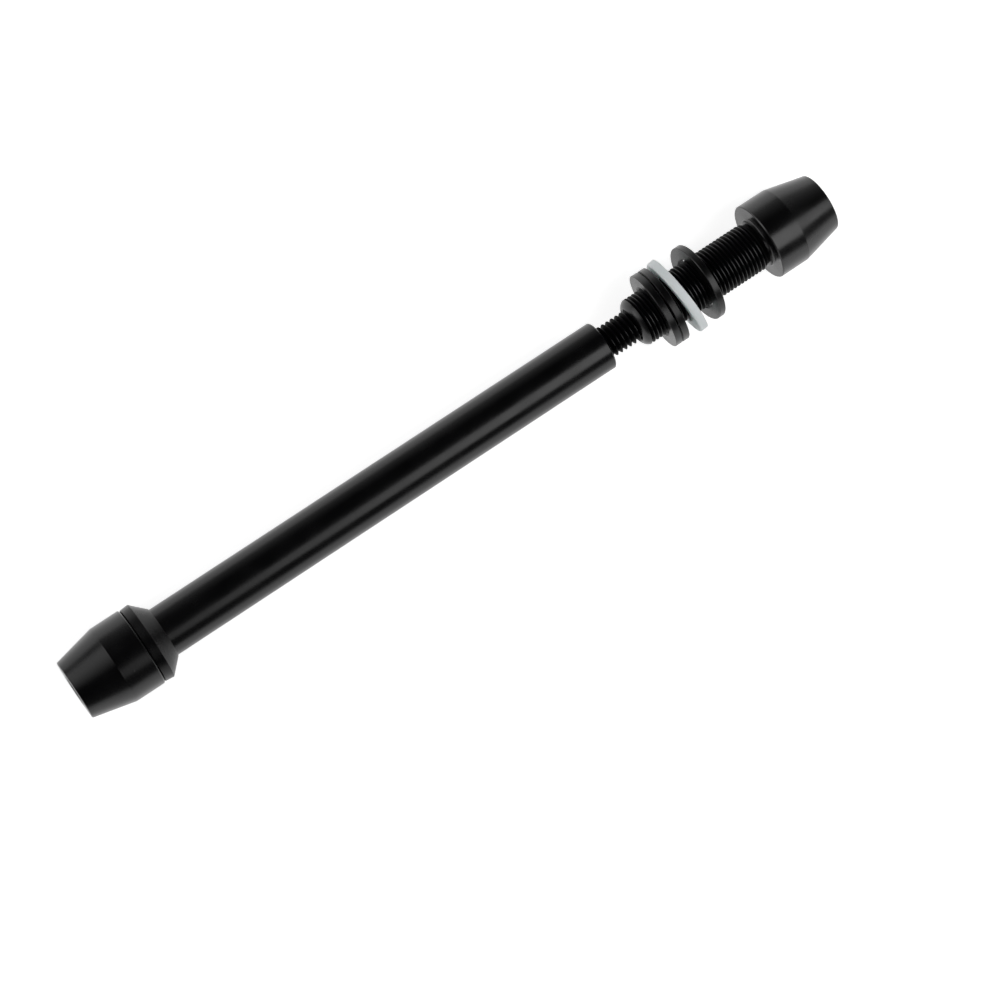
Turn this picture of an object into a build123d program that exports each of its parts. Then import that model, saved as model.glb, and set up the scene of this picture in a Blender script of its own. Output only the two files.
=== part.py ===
from build123d import *
import os
from math import acos, cos, degrees, radians, sin, tan

# A thru axle with a cone head at each end. The axis lies along X, level, as on the bicycle, and the origin is
# in the middle of the plain shaft. The left head is turned in one with the shaft and a stud. The right head is
# turned in one with a hollow threaded sleeve that screws on the stud.
# Lengths are in millimetres and angles in degrees.

# Heads, the same at both ends
head_diameter = 19.0
cone_end_diameter = 14.4
barrel_length = 7.4
cone_length = 10.1
head_edge_chamfer = 0.25
cone_end_chamfer = 0.15

# Hex sockets in both end faces, for a 6 mm key
socket_across_flats = 6.05
socket_depth = 8.0
socket_mouth_chamfer = 0.45
drill_point_angle = 118.0

# Plain shaft, from the left head's shoulder to its right end
shaft_diameter = 11.9
shaft_length = 124.3
shaft_end_chamfer = 0.3

# Stud, M8 with a 1.25 mm pitch
stud_diameter = 7.9
stud_engagement = 19.7
stud_end_chamfer = 0.9

# Threaded sleeve of the end bolt, M12 with a 1 mm pitch, and the room left between the shaft and its nose.
# The nose tapers steeply to its shoulder and then less. The thread runs out in a V-shaped relief groove. A collar
# follows, and then the root taper, which is the corner that the tool leaves at the head.
sleeve_diameter = 11.9
sleeve_length = 35.85
sleeve_gap = 8.4
nose_diameter = 8.9
nose_length = 1.4
nose_shoulder_diameter = 10.75
nose_shoulder_length = 0.55
relief_diameter = 10.5
relief_length = 1.4
collar_length = 0.35
root_taper = 0.45
bore_mouth_chamfer = 0.35
bore_end_room = 1.5
thread_clearance = 0.05

# Tapered washer on the shaft
cone_washer_diameter = 18.9
cone_washer_rim = 2.3
cone_washer_angle = 45.0
cone_washer_lip = 0.15
cone_washer_chamfer = 0.25
cone_washer_bore_chamfer = 0.3
slide_clearance = 0.08
shoulder_gap = 0.05

# Lock nuts on the sleeve, with places measured from the sleeve's nose to the middle of each nut.
# They sit a little askew by the play of their thread: the cant is about Y, and the pair share one.
nut_diameter = 19.0
nut_thickness = 1.65
nut_edge_chamfer = 0.12
nut_bore_chamfer = 0.5
nut_clearance = 0.12
pair_place = 7.77
pair_gap = 0.42
pair_cant_angle = -4.1
third_nut_place = 18.6
third_nut_cant_angle = 2.2

# Loose nylon washer on the sleeve, leaning by both angles
nylon_diameter = 19.8
nylon_thickness = 2.1
nylon_edge_chamfer = 0.2
nylon_bore_chamfer = 0.2
nylon_clearance = 0.15
nylon_place = 12.7
nylon_lean_angle_y = -8.3
nylon_lean_angle_z = 6.2

# Places along the axis that several pieces share
head_length = barrel_length + cone_length
shoulder_x = -shaft_length / 2
left_end_x = shoulder_x - head_length
shaft_end_x = shaft_length / 2
nose_x = shaft_end_x + sleeve_gap
stud_end_x = nose_x + stud_engagement
head_face_x = nose_x + sleeve_length
right_end_x = head_face_x + head_length

head_radius = head_diameter / 2
cone_end_radius = cone_end_diameter / 2
shaft_radius = shaft_diameter / 2
stud_radius = stud_diameter / 2
sleeve_radius = sleeve_diameter / 2
cone_slope = (head_radius - cone_end_radius) / cone_length
point_slope = tan(radians(drill_point_angle / 2))


def turned(*points):
    """A solid turned about the X axis from a closed outline of points in x and radius."""
    return revolve(make_face(Polyline(*points, close=True)), Axis.X)


def hex_socket():
    """The tool that cuts a hex socket, from a mouth at x = 0 into +X, with the drill's point at its bottom."""
    flat_radius = socket_across_flats / 2
    mouth_radius = flat_radius / cos(radians(30)) + socket_mouth_chamfer
    hexagon = Plane.YZ * RegularPolygon(flat_radius, 6, major_radius=False)
    drill = turned(
        (0, 0),
        (0, flat_radius),
        (socket_depth, flat_radius),
        (socket_depth + flat_radius / point_slope, 0),
    )
    mouth = turned((0, 0), (0, mouth_radius), (mouth_radius, 0))
    return extrude(hexagon, socket_depth) + drill + mouth


def make_axle():
    """The bar turned in one: cone head, shaft and stud."""
    bar = turned(
        (left_end_x, 0),
        (left_end_x, cone_end_radius - cone_end_chamfer),
        (left_end_x + cone_end_chamfer, cone_end_radius + cone_slope * cone_end_chamfer),
        (left_end_x + cone_length, head_radius),
        (shoulder_x - head_edge_chamfer, head_radius),
        (shoulder_x, head_radius - head_edge_chamfer),
        (shoulder_x, shaft_radius),
        (shaft_end_x - shaft_end_chamfer, shaft_radius),
        (shaft_end_x, shaft_radius - shaft_end_chamfer),
        (shaft_end_x, stud_radius),
        (stud_end_x - stud_end_chamfer, stud_radius),
        (stud_end_x, stud_radius - stud_end_chamfer),
        (stud_end_x, 0),
    )
    return bar - Pos(left_end_x, 0, 0) * hex_socket()


def make_cone_washer():
    """The loose washer on the shaft: flat against the head, tapered towards the shaft."""
    bore_radius = shaft_radius + slide_clearance
    rim_radius = cone_washer_diameter / 2
    lip_radius = bore_radius + cone_washer_lip
    flat_x = shoulder_x + shoulder_gap
    rim_x = flat_x + cone_washer_rim
    lip_x = rim_x + (rim_radius - lip_radius) / tan(radians(cone_washer_angle))
    return turned(
        (flat_x, bore_radius + cone_washer_bore_chamfer),
        (flat_x, rim_radius - cone_washer_chamfer),
        (flat_x + cone_washer_chamfer, rim_radius),
        (rim_x, rim_radius),
        (lip_x, lip_radius),
        (lip_x, bore_radius),
        (flat_x + cone_washer_bore_chamfer, bore_radius),
    )


def make_end_bolt():
    """The piece that screws on the stud: hollow threaded sleeve with a tapered nose, and the second head."""
    bore_radius = stud_radius + thread_clearance
    bore_end_x = stud_end_x + sleeve_gap + bore_end_room
    collar_x = head_face_x - root_taper - collar_length
    relief_x = collar_x - relief_length
    body = turned(
        (nose_x, nose_diameter / 2),
        (nose_x + nose_shoulder_length, nose_shoulder_diameter / 2),
        (nose_x + nose_length, sleeve_radius),
        (relief_x, sleeve_radius),
        (relief_x + relief_length / 2, relief_diameter / 2),
        (collar_x, sleeve_radius),
        (head_face_x - root_taper, sleeve_radius),
        (head_face_x, sleeve_radius + root_taper),
        (head_face_x, head_radius - head_edge_chamfer),
        (head_face_x + head_edge_chamfer, head_radius),
        (head_face_x + barrel_length, head_radius),
        (right_end_x - cone_end_chamfer, cone_end_radius + cone_slope * cone_end_chamfer),
        (right_end_x, cone_end_radius - cone_end_chamfer),
        (right_end_x, 0),
        (bore_end_x + bore_radius / point_slope, 0),
        (bore_end_x, bore_radius),
        (nose_x + bore_mouth_chamfer, bore_radius),
        (nose_x, bore_radius + bore_mouth_chamfer),
    )
    return body - Pos(right_end_x, 0, 0) * Rot(0, 180, 0) * hex_socket()


def ring_bore_radius(length, tilt, clearance):
    """The bore that clears the sleeve by the clearance when a ring of this bore length leans by the tilt."""
    return (sleeve_radius + clearance + length / 2 * sin(radians(tilt))) / cos(radians(tilt))


def make_lock_nut(place, cant):
    """A thin round nut with both mouths of its bore chamfered, sitting askew by its cant."""
    half = nut_thickness / 2
    bore_radius = ring_bore_radius(nut_thickness, abs(cant), nut_clearance)
    rim_radius = nut_diameter / 2
    ring = turned(
        (-half, bore_radius + nut_bore_chamfer),
        (-half, rim_radius - nut_edge_chamfer),
        (-half + nut_edge_chamfer, rim_radius),
        (half - nut_edge_chamfer, rim_radius),
        (half, rim_radius - nut_edge_chamfer),
        (half, bore_radius + nut_bore_chamfer),
        (half - nut_bore_chamfer, bore_radius),
        (-half + nut_bore_chamfer, bore_radius),
    )
    return Pos(nose_x + place, 0, 0) * Rot(0, cant, 0) * ring


def make_nylon_washer():
    """The loose flat washer, leaning on the sleeve."""
    half = nylon_thickness / 2
    rim_radius = nylon_diameter / 2
    lean = degrees(acos(cos(radians(nylon_lean_angle_y)) * cos(radians(nylon_lean_angle_z))))
    bore_radius = ring_bore_radius(nylon_thickness, lean, nylon_clearance)
    ring = turned(
        (-half, bore_radius + nylon_bore_chamfer),
        (-half, rim_radius - nylon_edge_chamfer),
        (-half + nylon_edge_chamfer, rim_radius),
        (half - nylon_edge_chamfer, rim_radius),
        (half, rim_radius - nylon_edge_chamfer),
        (half, bore_radius + nylon_bore_chamfer),
        (half - nylon_bore_chamfer, bore_radius),
        (-half + nylon_bore_chamfer, bore_radius),
    )
    return Pos(nose_x + nylon_place, 0, 0) * Rot(0, nylon_lean_angle_y, nylon_lean_angle_z) * ring


pair_spacing = (nut_thickness + pair_gap) / cos(radians(pair_cant_angle))

pieces = {
    "axle": make_axle(),
    "cone_washer": make_cone_washer(),
    "end_bolt": make_end_bolt(),
    "lock_nut_1": make_lock_nut(pair_place - pair_spacing / 2, pair_cant_angle),
    "lock_nut_2": make_lock_nut(pair_place + pair_spacing / 2, pair_cant_angle),
    "lock_nut_3": make_lock_nut(third_nut_place, third_nut_cant_angle),
    "nylon_washer": make_nylon_washer(),
}

os.makedirs("parts", exist_ok=True)
for node, piece in pieces.items():
    export_step(piece, f"parts/{node}.step")
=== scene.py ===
from math import ceil, cos, pi, radians, sin, tan

import bmesh
import bpy
from mathutils import Matrix, Vector


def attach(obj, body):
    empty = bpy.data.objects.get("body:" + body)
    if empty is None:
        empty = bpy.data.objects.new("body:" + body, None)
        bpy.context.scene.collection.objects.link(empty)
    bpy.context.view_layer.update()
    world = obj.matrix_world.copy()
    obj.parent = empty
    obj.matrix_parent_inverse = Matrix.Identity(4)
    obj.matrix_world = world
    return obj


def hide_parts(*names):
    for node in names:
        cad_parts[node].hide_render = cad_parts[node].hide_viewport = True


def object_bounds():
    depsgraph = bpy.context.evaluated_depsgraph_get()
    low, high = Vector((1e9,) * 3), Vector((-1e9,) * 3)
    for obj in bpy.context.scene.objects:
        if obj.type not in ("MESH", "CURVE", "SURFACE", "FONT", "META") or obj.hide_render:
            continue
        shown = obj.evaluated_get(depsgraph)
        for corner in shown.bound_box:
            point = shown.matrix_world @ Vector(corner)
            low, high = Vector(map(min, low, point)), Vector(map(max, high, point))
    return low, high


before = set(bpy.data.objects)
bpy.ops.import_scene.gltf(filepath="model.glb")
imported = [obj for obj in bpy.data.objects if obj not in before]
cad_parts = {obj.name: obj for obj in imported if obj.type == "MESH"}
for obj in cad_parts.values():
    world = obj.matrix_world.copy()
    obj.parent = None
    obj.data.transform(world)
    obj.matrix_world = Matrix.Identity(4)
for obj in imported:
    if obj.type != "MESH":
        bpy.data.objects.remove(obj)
cad_low, cad_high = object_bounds()


# Axle: one aluminium bar turned on a lathe, with a cone head, a plain shaft and an M8 stud at the far end.
# It is satin black anodised, and everything else sits on it. A hex socket is broached in the head's end face.
# Sizes are in millimetres, and places lie along the axis from the middle of the shaft.
mm = 0.001
weld_distance = 1e-7
segments = 144
angles = [2 * pi * i / segments for i in range(segments)]

head_radius = 9.5
head_length = 17.5
head_edge = 0.25
cone_length = 10.1
cone_end_radius = 7.05
cone_edge = 0.15
cone_edge_radius = 7.234
shoulder = -62.15
left_end = shoulder - head_length
shaft_end = 62.15
shaft_radius = 5.95
shaft_edge = 0.3
stud_end = 90.25
stud_radius = 3.95
stud_edge = 0.9
stud_tip_radius = stud_radius - stud_edge


def ring_point(place, radius, angle):
    """A point about the X axis, in metres."""
    return place * mm, radius * cos(angle) * mm, radius * sin(angle) * mm


def add_rings(bm, rings):
    """Skins rings about the X axis. A ring is one (place, radius), or a list of them by angle."""
    loops = []
    for ring in rings:
        points = [ring] * segments if isinstance(ring, tuple) else ring
        loops.append([bm.verts.new(ring_point(x, r, a)) for a, (x, r) in zip(angles, points)])
    for near, far in zip(loops, loops[1:]):
        for i in range(segments):
            j = (i + 1) % segments
            bm.faces.new((near[i], near[j], far[j], far[i]))


def add_thread(bm, blank, pitch, crest, run_in, run_out, phase=0.0):
    """Skins a right-hand thread cut into a turned blank, given as (place, radius) points from end to end.

    The crest is a share of the pitch. The groove deepens over run_in and fades over run_out, and the phase is
    a share of a turn. Crests take the piece's first material and flanks its second.
    """
    depth = 0.7 * pitch
    root = (1 + crest) / 2
    profile = (
        (0, 0),
        (crest / 2, 0),
        (crest, 0),
        ((crest + root) / 2, 0.5),
        (root, 1),
        ((root + 1) / 2, 0.5),
    )
    crest_bands = 2
    start, end = blank[0][0], blank[-1][0]
    outside = max(r for x, r in blank)
    rows = []
    for turn in range(-2, ceil((end - start) / pitch) + 2):
        for share, drop in profile:
            row = []
            for i, a in enumerate(angles):
                x = start + (turn + share + phase + i / segments) * pitch
                x = min(max(x, start), end)
                (x0, r0), (x1, r1) = next(pair for pair in zip(blank, blank[1:]) if x <= pair[1][0])
                turned = r0 + (r1 - r0) * (x - x0) / (x1 - x0)
                fade = min(1.0, (x - start) / run_in) * min(1.0, (end - x) / run_out)
                row.append(bm.verts.new(ring_point(x, min(turned, outside - depth * drop * fade), a)))
            rows.append(row)
    step = len(profile)
    for j in range(len(rows) - step - 1):
        near, far = rows[j], rows[j + 1]
        for i in range(segments):
            if i + 1 < segments:
                corners = (near[i], near[i + 1], far[i + 1], far[i])
            else:
                corners = (near[i], rows[j + step][0], rows[j + step + 1][0], far[i])
            if max(v.co.x for v in corners) - min(v.co.x for v in corners) > weld_distance:
                bm.faces.new(corners).material_index = 0 if j % step < crest_bands else 1


def hex_socket(mouth, inward):
    """Rings of a 6 mm hex socket, from its chamfered mouth to the drill's point at its bottom."""
    flat_radius = 3.025
    mouth_chamfer = 0.45
    depth = 8.0
    point_half_angle = radians(59)
    mouth_radius = flat_radius / cos(radians(30)) + mouth_chamfer
    hexagon = [flat_radius / cos((a + pi / 6) % (pi / 3) - pi / 6) for a in angles]
    return [
        (mouth, mouth_radius),
        [(mouth + inward * (mouth_radius - r), r) for r in hexagon],
        [(mouth + inward * depth, r) for r in hexagon],
        (mouth + inward * depth, flat_radius),
        (mouth + inward * (depth + flat_radius / tan(point_half_angle)), 0.0),
    ]


def cone_head(end, inward):
    """Rings of a head, from the bottom of its hex socket over the cone to the barrel's edge."""
    return hex_socket(end, inward)[::-1] + [
        (end, cone_end_radius),
        (end + inward * cone_edge, cone_edge_radius),
        (end + inward * cone_length, head_radius),
        (end + inward * (head_length - head_edge), head_radius),
        (end + inward * head_length, head_radius - head_edge),
    ]


def new_piece(bm, name, *materials):
    """Closes the skin and makes it an object that is smooth but for its real edges."""
    bmesh.ops.remove_doubles(bm, verts=bm.verts, dist=weld_distance)
    bmesh.ops.recalc_face_normals(bm, faces=bm.faces)
    for face in bm.faces:
        face.smooth = True
    for edge in bm.edges:
        on_flank = all(face.material_index == 1 for face in edge.link_faces)
        sharp_from = radians(20) if on_flank else radians(9)
        edge.smooth = edge.calc_face_angle(0.0) < sharp_from
    mesh = bpy.data.meshes.new(name)
    bm.to_mesh(mesh)
    bm.free()
    for material in materials:
        mesh.materials.append(material)
    piece = bpy.data.objects.new(name, mesh)
    bpy.context.collection.objects.link(piece)
    return piece


def add_node(tree, kind, inputs=None, **properties):
    """A node with its properties set, and its inputs joined to sockets or set to values."""
    node = tree.nodes.new(kind)
    for key, value in properties.items():
        setattr(node, key, value)
    for key, value in (inputs or {}).items():
        if isinstance(value, bpy.types.NodeSocket):
            tree.links.new(value, node.inputs[key])
        else:
            node.inputs[key].default_value = value
    return node


def add_math(tree, operation, *values):
    """What an operation makes of sockets or numbers."""
    return add_node(tree, "ShaderNodeMath", dict(enumerate(values)), operation=operation).outputs[0]


def add_ramp(tree, value, start, end, at_start, at_end):
    """A value's straight run from one level to another, level before and after."""
    inputs = {0: value, 1: start, 2: end, 3: at_start, 4: at_end}
    return add_node(tree, "ShaderNodeMapRange", inputs).outputs[0]


def add_noise(tree, place, scale, detail):
    """Noise at a place in metres."""
    inputs = {"Vector": place, "Scale": scale, "Detail": detail}
    return add_node(tree, "ShaderNodeTexNoise", inputs).outputs[0]


def mix_colors(tree, share, first, second):
    """The colour that lies a share of the way from the first to the second."""
    return add_node(tree, "ShaderNodeMix", {0: share, 6: first, 7: second}, data_type="RGBA").outputs[2]


def new_surface(name, inputs=()):
    """A shader node group that puts out a colour, a roughness and a height."""
    surface = bpy.data.node_groups.new(name, "ShaderNodeTree")
    outputs = (("Color", "NodeSocketColor"), ("Roughness", "NodeSocketFloat"), ("Height", "NodeSocketFloat"))
    for in_out, sockets in (("INPUT", inputs), ("OUTPUT", outputs)):
        for socket_name, kind in sockets:
            surface.interface.new_socket(socket_name, in_out=in_out, socket_type=kind)
    return surface


def surface_material(name, surface, settings, bump, bump_height):
    """A material that takes its colour, roughness and bump from a surface with these settings."""
    material = bpy.data.materials.new(name)
    material.use_nodes = True
    tree = material.node_tree
    shader = tree.nodes["Principled BSDF"]
    skin = add_node(tree, "ShaderNodeGroup", settings, node_tree=surface)
    relief = {"Height": skin.outputs["Height"], "Strength": bump, "Distance": bump_height}
    bumped = add_node(tree, "ShaderNodeBump", relief)
    tree.links.new(skin.outputs["Color"], shader.inputs["Base Color"])
    tree.links.new(skin.outputs["Roughness"], shader.inputs["Roughness"])
    tree.links.new(bumped.outputs["Normal"], shader.inputs["Normal"])
    return material


# Turned and anodised surface, shared by every black piece: tool lines around the axis, satin grain, faint
# clouding of the dye, and specks of dust. Its coordinates are the piece's own, in metres.
clouded_black = (0.002, 0.002, 0.0023, 1)
dust_grey = (0.12, 0.12, 0.12, 1)
turned_black = new_surface("turned_black", (
    ("Black", "NodeSocketColor"),
    ("Satin", "NodeSocketFloat"),
    ("Dust", "NodeSocketFloat"),
))
given = add_node(turned_black, "NodeGroupInput").outputs
here = add_node(turned_black, "ShaderNodeTexCoord").outputs["Object"]
along, across, up = add_node(turned_black, "ShaderNodeSeparateXYZ", {0: here}).outputs
across_squared = add_math(turned_black, "MULTIPLY", across, across)
up_squared = add_math(turned_black, "MULTIPLY", up, up)
from_axis = add_math(turned_black, "SQRT", add_math(turned_black, "ADD", across_squared, up_squared))
lathe_place = add_node(turned_black, "ShaderNodeCombineXYZ", {0: along, 1: from_axis}).outputs[0]
tool_lines = add_noise(turned_black, lathe_place, scale=9000.0, detail=2.0)
grain = add_noise(turned_black, here, scale=3500.0, detail=3.0)
cloud = add_noise(turned_black, here, scale=160.0, detail=4.0)
speck_cells = add_node(turned_black, "ShaderNodeTexVoronoi", {"Vector": here, "Scale": 420.0}).outputs
speck_pick = add_node(turned_black, "ShaderNodeSeparateColor", {0: speck_cells["Color"]}).outputs[0]
speck_radius = add_ramp(turned_black, speck_pick, 0.8, 1.0, 0.0, 0.06)
speck = add_math(turned_black, "GREATER_THAN", speck_radius, speck_cells["Distance"])
dust = add_math(turned_black, "MULTIPLY", speck, given["Dust"])
dye = mix_colors(turned_black, cloud, given["Black"], clouded_black)
cloud_satin = add_ramp(turned_black, cloud, 0.3, 0.7, -0.03, 0.04)
add_node(turned_black, "NodeGroupOutput", {
    "Color": mix_colors(turned_black, dust, dye, dust_grey),
    "Roughness": add_math(turned_black, "ADD", given["Satin"], cloud_satin),
    "Height": add_node(turned_black, "ShaderNodeMix", {0: 0.25, 2: tool_lines, 3: grain}).outputs[0],
})


def black_material(name, black, satin, dust, bump, gloss):
    """Black anodised aluminium from the shared surface."""
    settings = {"Black": black, "Satin": satin, "Dust": dust}
    material = surface_material(name, turned_black, settings, bump, bump_height=0.0001)
    material.node_tree.nodes["Principled BSDF"].inputs["Specular IOR Level"].default_value = gloss
    return material


deep_black = (0.0012, 0.0012, 0.0014, 1)
# The thread flanks get a darker black than the crests: this is painted shade in the thread grooves.
groove_shade_black = (0.0008, 0.0008, 0.001, 1)
bar_black = black_material("bar_black", deep_black, satin=0.24, dust=0.5, bump=0.08, gloss=0.4)
shaded_flank_black = black_material("shaded_flank_black", groove_shade_black, satin=0.5, dust=0.0, bump=0.04, gloss=0.05)

stud_blank = [(shaft_end, stud_radius), (stud_end - stud_edge, stud_radius), (stud_end, stud_tip_radius)]
bm = bmesh.new()
add_rings(bm, cone_head(left_end, 1) + [
    (shoulder, shaft_radius),
    (shaft_end - shaft_edge, shaft_radius),
    (shaft_end, shaft_radius - shaft_edge),
    (shaft_end, stud_radius),
])
add_thread(bm, stud_blank, pitch=1.25, crest=0.05, run_in=0.5, run_out=0.9)
add_rings(bm, [(stud_end, stud_tip_radius), (stud_end, 0.0)])
axle = new_piece(bm, "axle_bar", bar_black, shaded_flank_black)
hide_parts("axle")
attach(axle, "axle")


# Tapered washer: a loose turned ring on the shaft, flat against the head and coned towards the shaft.
# It is anodised like the axle but duller, and slides freely on it. Its rim leans a little.
washer_black = black_material("washer_black", deep_black, satin=0.28, dust=0.5, bump=0.5, gloss=0.2)
washer_gap = 0.05
washer_bore = 6.03
washer_bore_edge = 0.3
washer_back = shoulder + washer_gap
washer_back_radius = 8.9
rim_edge = 0.25
rim_back = washer_back + rim_edge
rim_back_radius = 9.27
rim_length = 2.3
rim_front = washer_back + rim_length
rim_front_radius = 9.45
lip_radius = 6.18
lip = rim_front + rim_front_radius - lip_radius
bm = bmesh.new()
add_rings(bm, [
    (washer_back + washer_bore_edge, washer_bore),
    (washer_back, washer_bore + washer_bore_edge),
    (washer_back, washer_back_radius),
    (rim_back, rim_back_radius),
    (rim_front, rim_front_radius),
    (lip, lip_radius),
    (lip, washer_bore),
    (washer_back + washer_bore_edge, washer_bore),
])
cone_washer = new_piece(bm, "tapered_washer", washer_black)
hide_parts("cone_washer")
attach(cone_washer, "cone_washer")


# End bolt: the second head, turned in one with a hollow sleeve that has an M12 x 1 thread outside and is
# tapped M8 inside to screw on the stud. Same black anodising. The thread runs out in a relief groove.
head_black = black_material("head_black", deep_black, satin=0.24, dust=0.5, bump=0.08, gloss=0.45)
sleeve_radius = 5.95
sleeve_gap = 8.4
nose = shaft_end + sleeve_gap
nose_length = 1.4
nose_radius = 4.45
nose_bulge = 0.334
nose_bulge_radius = 5.54
bore_radius = 4.0
bore_mouth_edge = 0.35
bore_bottom = 100.15
bore_point = 102.55
relief_start = 104.2
relief_bottom = 105.38
relief_radius = 5.25
collar_start = 105.6
root_fillet = 0.45
right_end = 123.9
head_face = right_end - head_length
quarter_turn = [radians(a) for a in range(0, 91, 15)]

nose_curve = []
for i in range(11):
    k = i / 10
    lean_in = 2 * k * (1 - k)
    place = nose + lean_in * nose_bulge + k * k * nose_length
    radius = (1 - k) ** 2 * nose_radius + lean_in * nose_bulge_radius + k * k * sleeve_radius
    nose_curve.append((place, radius))
fillet_place = head_face - root_fillet
fillet_radius = sleeve_radius + root_fillet
thread_start = nose + nose_length
sleeve_blank = [(thread_start, sleeve_radius), (relief_start, sleeve_radius), (relief_bottom, relief_radius)]

bm = bmesh.new()
add_rings(bm, [
    (bore_point, 0.0),
    (bore_bottom, bore_radius),
    (nose + bore_mouth_edge, bore_radius),
    (nose, bore_radius + bore_mouth_edge),
    *nose_curve,
])
add_thread(bm, sleeve_blank, pitch=1.0, crest=0.12, run_in=0.15, run_out=0.1, phase=0.5)
add_rings(bm, [
    (relief_bottom, relief_radius),
    (collar_start, sleeve_radius),
    *[(fillet_place + root_fillet * sin(a), fillet_radius - root_fillet * cos(a)) for a in quarter_turn],
] + cone_head(right_end, -1)[::-1])
end_bolt = new_piece(bm, "end_bolt_turned", head_black, shaded_flank_black)
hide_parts("end_bolt")
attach(end_bolt, "end_bolt")


# Lock nuts: three thin round aluminium nuts on the sleeve, tapped M12 x 1 with chamfered mouths.
# The play of the thread lets them sit a little askew, two of them together.
nut_dark = (0.0015, 0.0015, 0.0016, 1)
nut_black = black_material("nut_black", nut_dark, satin=0.3, dust=1.0, bump=0.3, gloss=0.38)
nut_radius = 9.5
nut_edge = 0.12
nut_half = 0.825
nut_mouth = 0.5
nut_play = 0.12
pair_middle = nose + 7.77
pair_gap = 0.42
pair_cant = radians(-4.1)
pair_half = (nut_half + pair_gap / 2) / cos(pair_cant)
third_nut = nose + 18.6
third_cant = radians(2.2)
nut_seats = (
    (1, pair_middle - pair_half, pair_cant),
    (2, pair_middle + pair_half, pair_cant),
    (3, third_nut, third_cant),
)
for number, place, cant in nut_seats:
    nut_bore = (sleeve_radius + nut_play + nut_half * sin(abs(cant))) / cos(cant)
    bm = bmesh.new()
    add_rings(bm, [
        (nut_mouth - nut_half, nut_bore),
        (-nut_half, nut_bore + nut_mouth),
        (-nut_half, nut_radius - nut_edge),
        (nut_edge - nut_half, nut_radius),
        (nut_half - nut_edge, nut_radius),
        (nut_half, nut_radius - nut_edge),
        (nut_half, nut_bore + nut_mouth),
        (nut_half - nut_mouth, nut_bore),
        (nut_mouth - nut_half, nut_bore),
    ])
    nut = new_piece(bm, f"lock_nut_turned_{number}", nut_black)
    nut.matrix_world = Matrix.Translation((place * mm, 0, 0)) @ Matrix.Rotation(cant, 4, "Y")
    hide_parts(f"lock_nut_{number}")
    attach(nut, f"lock_nut_{number}")


# Nylon washer: a loose white moulded ring on the sleeve, soft edged and slightly translucent.
# It leans on the thread between the second and third nut.
dim_white = (0.745, 0.825, 0.83, 1)
bright_white = (0.79, 0.875, 0.88, 1)
moulded_white = new_surface("moulded_white")
here = add_node(moulded_white, "ShaderNodeTexCoord").outputs["Object"]
cloud = add_noise(moulded_white, here, scale=450.0, detail=4.0)
add_node(moulded_white, "NodeGroupOutput", {
    "Color": mix_colors(moulded_white, cloud, dim_white, bright_white),
    "Roughness": add_ramp(moulded_white, cloud, 0.3, 0.7, 0.42, 0.54),
    "Height": add_noise(moulded_white, here, scale=2600.0, detail=2.0),
})
white_nylon = surface_material("white_nylon", moulded_white, {}, bump=0.15, bump_height=0.00005)
nylon_shader = white_nylon.node_tree.nodes["Principled BSDF"]
nylon_shader.inputs["Subsurface Weight"].default_value = 1.0
nylon_shader.inputs["Subsurface Radius"].default_value = (1.0, 1.1, 1.05)
nylon_shader.inputs["Subsurface Scale"].default_value = 0.003

nylon_radius = 9.9
nylon_half = 1.05
nylon_bore = 6.393
nylon_bore_edge = 0.2
left_round = 0.45
right_round = 0.25
left_middle = (left_round - nylon_half, nylon_radius - left_round)
right_middle = (nylon_half - right_round, nylon_radius - right_round)
nylon_place = nose + 12.7
nylon_lean = Matrix.Rotation(radians(-8.3), 4, "Y") @ Matrix.Rotation(radians(6.2), 4, "Z")
bm = bmesh.new()
add_rings(bm, [
    (nylon_bore_edge - nylon_half, nylon_bore),
    (-nylon_half, nylon_bore + nylon_bore_edge),
    *[(left_middle[0] - left_round * cos(a), left_middle[1] + left_round * sin(a)) for a in quarter_turn],
    *[(right_middle[0] + right_round * sin(a), right_middle[1] + right_round * cos(a)) for a in quarter_turn],
    (nylon_half, nylon_bore + nylon_bore_edge),
    (nylon_half - nylon_bore_edge, nylon_bore),
    (nylon_bore_edge - nylon_half, nylon_bore),
])
nylon_seat = Matrix.Translation((nylon_place * mm, 0, 0)) @ nylon_lean
bmesh.ops.transform(bm, matrix=nylon_seat, verts=bm.verts)
nylon_washer = new_piece(bm, "nylon_washer_moulded", white_nylon)
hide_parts("nylon_washer")
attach(nylon_washer, "nylon_washer")


# Studio: a white table under a white horizon and a dim room, and a camera that looks down on the axle.
# The light is soft: a long panel on the near side that grows brighter to the right, one at the back left,
# a low one at the right and one at the left. Lengths here are in metres.
table_reach = 3.0
table_corners = [(x * table_reach, y * table_reach, 0) for x, y in ((-1, -1), (1, -1), (1, 1), (-1, 1))]
floor_mesh = bpy.data.meshes.new("table")
floor_mesh.from_pydata(table_corners, [], [(0, 1, 2, 3)])
floor = bpy.data.objects.new("table", floor_mesh)
floor.location = (0, 0, cad_low.z)
bpy.context.collection.objects.link(floor)


def seen_share(tree):
    """1 for the camera and for what shines or is clear, and 0 for light that only bounces."""
    ray = add_node(tree, "ShaderNodeLightPath").outputs
    by_camera_or_gloss = add_math(tree, "MAXIMUM", ray["Is Camera Ray"], ray["Is Glossy Ray"])
    return add_math(tree, "MAXIMUM", by_camera_or_gloss, ray["Is Transmission Ray"])


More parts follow.
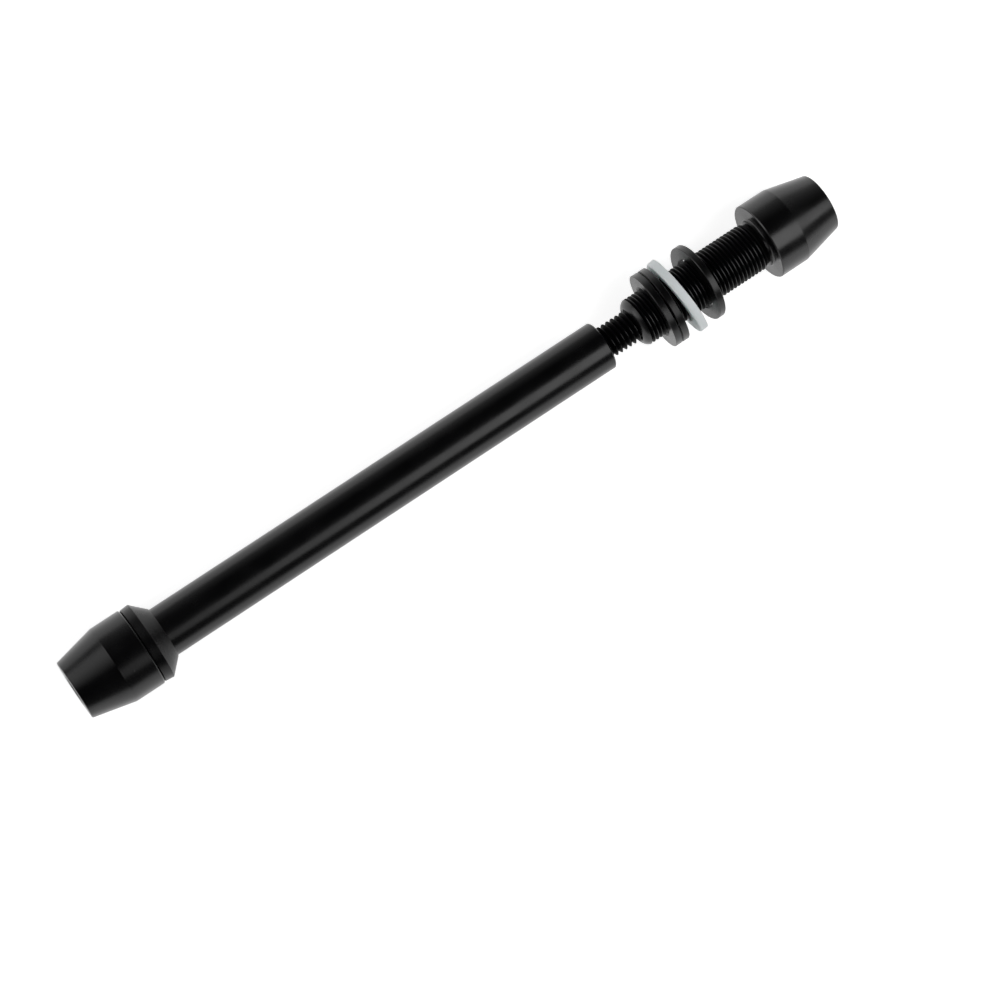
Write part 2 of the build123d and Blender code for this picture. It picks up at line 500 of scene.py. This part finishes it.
table_white = bpy.data.materials.new("table_white")
table_white.use_nodes = True
tree = table_white.node_tree
tree.nodes.clear()
spot = add_node(tree, "ShaderNodeTexCoord").outputs["Object"]
far_off = add_node(tree, "ShaderNodeVectorMath", {0: spot}, operation="LENGTH").outputs["Value"]
lift = add_math(tree, "MULTIPLY", add_ramp(tree, far_off, 0.3, 1.2, 0.7, 1.0), seen_share(tree))
paint = add_node(tree, "ShaderNodeBsdfDiffuse", {"Color": (0.85, 0.85, 0.85, 1)}).outputs[0]
glow = add_node(tree, "ShaderNodeEmission", {"Color": (1, 1, 1, 1), "Strength": lift}).outputs[0]
lifted = add_node(tree, "ShaderNodeAddShader", {0: paint, 1: glow}).outputs[0]
add_node(tree, "ShaderNodeOutputMaterial", {"Surface": lifted})
floor_mesh.materials.append(table_white)

world = bpy.data.worlds.new("studio")
bpy.context.scene.world = world
world.use_nodes = True
tree = world.node_tree
tree.nodes.clear()
bounced_light = 0.25
look = add_node(tree, "ShaderNodeTexCoord").outputs["Generated"]
to_right, to_back, to_top = add_node(tree, "ShaderNodeSeparateXYZ", {0: look}).outputs
back_wall = add_ramp(tree, to_back, -0.8, 0.2, 0.1, 0.45)
right_wall = add_ramp(tree, to_right, 0.0, 0.6, 0.9, 1.5)
door = add_ramp(tree, to_right, 0.8, 0.98, 1.0, 0.1)
low_walls = add_ramp(tree, to_top, 0.0, 0.72, 1.0, 0.0)
left_wall = add_ramp(tree, to_right, -0.75, -0.5, 0.1, 0.005)
walls = add_math(tree, "MULTIPLY", add_math(tree, "MULTIPLY", back_wall, right_wall), door)
room = add_math(tree, "MULTIPLY_ADD", walls, low_walls, left_wall)
horizon = add_ramp(tree, to_top, 0.08, 0.16, 1.0, 0.0)
backdrop = add_math(tree, "MAXIMUM", horizon, room)
sky = add_node(tree, "ShaderNodeMix", {0: seen_share(tree), 2: bounced_light, 3: backdrop}).outputs[0]
studio_air = add_node(tree, "ShaderNodeBackground", {"Color": (1, 1, 1, 1), "Strength": sky}).outputs[0]
add_node(tree, "ShaderNodeOutputWorld", {"Surface": studio_air})


def softbox(name, place, aim, width, height, radiance):
    """A rectangular area light turned to its aim, hidden from the camera. Gives back its node tree."""
    light = bpy.data.lights.new(name, "AREA")
    light.shape = "RECTANGLE"
    light.size = width
    light.size_y = height
    light.energy = radiance * pi * width * height
    light.use_nodes = True
    lamp = bpy.data.objects.new(name, light)
    lamp.location = place
    lamp.rotation_euler = (Vector(place) - Vector(aim)).to_track_quat("Z", "Y").to_euler()
    lamp.visible_camera = False
    bpy.context.collection.objects.link(lamp)
    return light.node_tree


def panel_place(tree):
    """A softbox's two coordinates over its panel, each from 0 to 1."""
    where = add_node(tree, "ShaderNodeNewGeometry").outputs["Parametric"]
    split = add_node(tree, "ShaderNodeSeparateXYZ", {0: where}).outputs
    return split["X"], split["Y"]


tree = softbox("near_softbox", (0.4, -0.369, 0.71), (0.4, 0, 0), width=1.1, height=0.663, radiance=2.6)
panel_x, panel_y = panel_place(tree)
growth = add_ramp(tree, panel_x, 0.05, 0.355, 0.0, 1.0)
slant = add_math(tree, "MULTIPLY_ADD", panel_x, 1.073, 0.487)
upper = add_ramp(tree, add_math(tree, "SUBTRACT", slant, panel_y), -0.04, 0.04, 0.0, 1.0)
trim_left = add_ramp(tree, panel_x, 0.0, 0.31, 0.14, 0.0)
trim_right = add_ramp(tree, panel_x, 0.31, 1.0, 0.0, 0.2)
trim = add_math(tree, "ADD", trim_left, trim_right)
lower = add_ramp(tree, add_math(tree, "SUBTRACT", panel_y, trim), -0.02, 0.04, 0.0, 1.0)
share = add_math(tree, "MULTIPLY", growth, add_math(tree, "MULTIPLY", upper, lower))
tree.links.new(share, tree.nodes["Emission"].inputs["Strength"])

tree = softbox("back_softbox", (-0.53, 0.43, 0.572), (0, 0, 0), width=0.79, height=1.03, radiance=1.25)
panel_x, panel_y = panel_place(tree)
fall = add_ramp(tree, panel_y, 0.6, 1.0, 1.0, 0.0)
corner = add_math(tree, "MULTIPLY_ADD", panel_x, -1.2, panel_y)
share = add_math(tree, "MULTIPLY", fall, add_ramp(tree, corner, 0.45, 0.65, 1.0, 0.0))
tree.links.new(share, tree.nodes["Emission"].inputs["Strength"])

softbox("right_softbox", (0.57, -0.82, 0.1), (0, 0, 0), width=0.8, height=0.22, radiance=0.45)

tree = softbox("left_softbox", (-0.8, 0.42, 0.35), (0, 0, 0), width=0.5, height=0.66, radiance=1.25)
panel_y = panel_place(tree)[1]
fall = add_ramp(tree, panel_y, 0.2, 0.65, 1.0, 0.3)
tree.links.new(fall, tree.nodes["Emission"].inputs["Strength"])

camera_data = bpy.data.cameras.new("camera")
camera_data.lens = 109.02
camera_data.sensor_width = 36.0
camera = bpy.data.objects.new("camera", camera_data)
camera.location = (-0.09884, 0.0, 0.67155)
camera.rotation_euler = (radians(4.507), radians(-9.347), radians(-33.731))
bpy.context.collection.objects.link(camera)
bpy.context.scene.camera = camera
bpy.context.scene.view_settings.view_transform = "Standard"
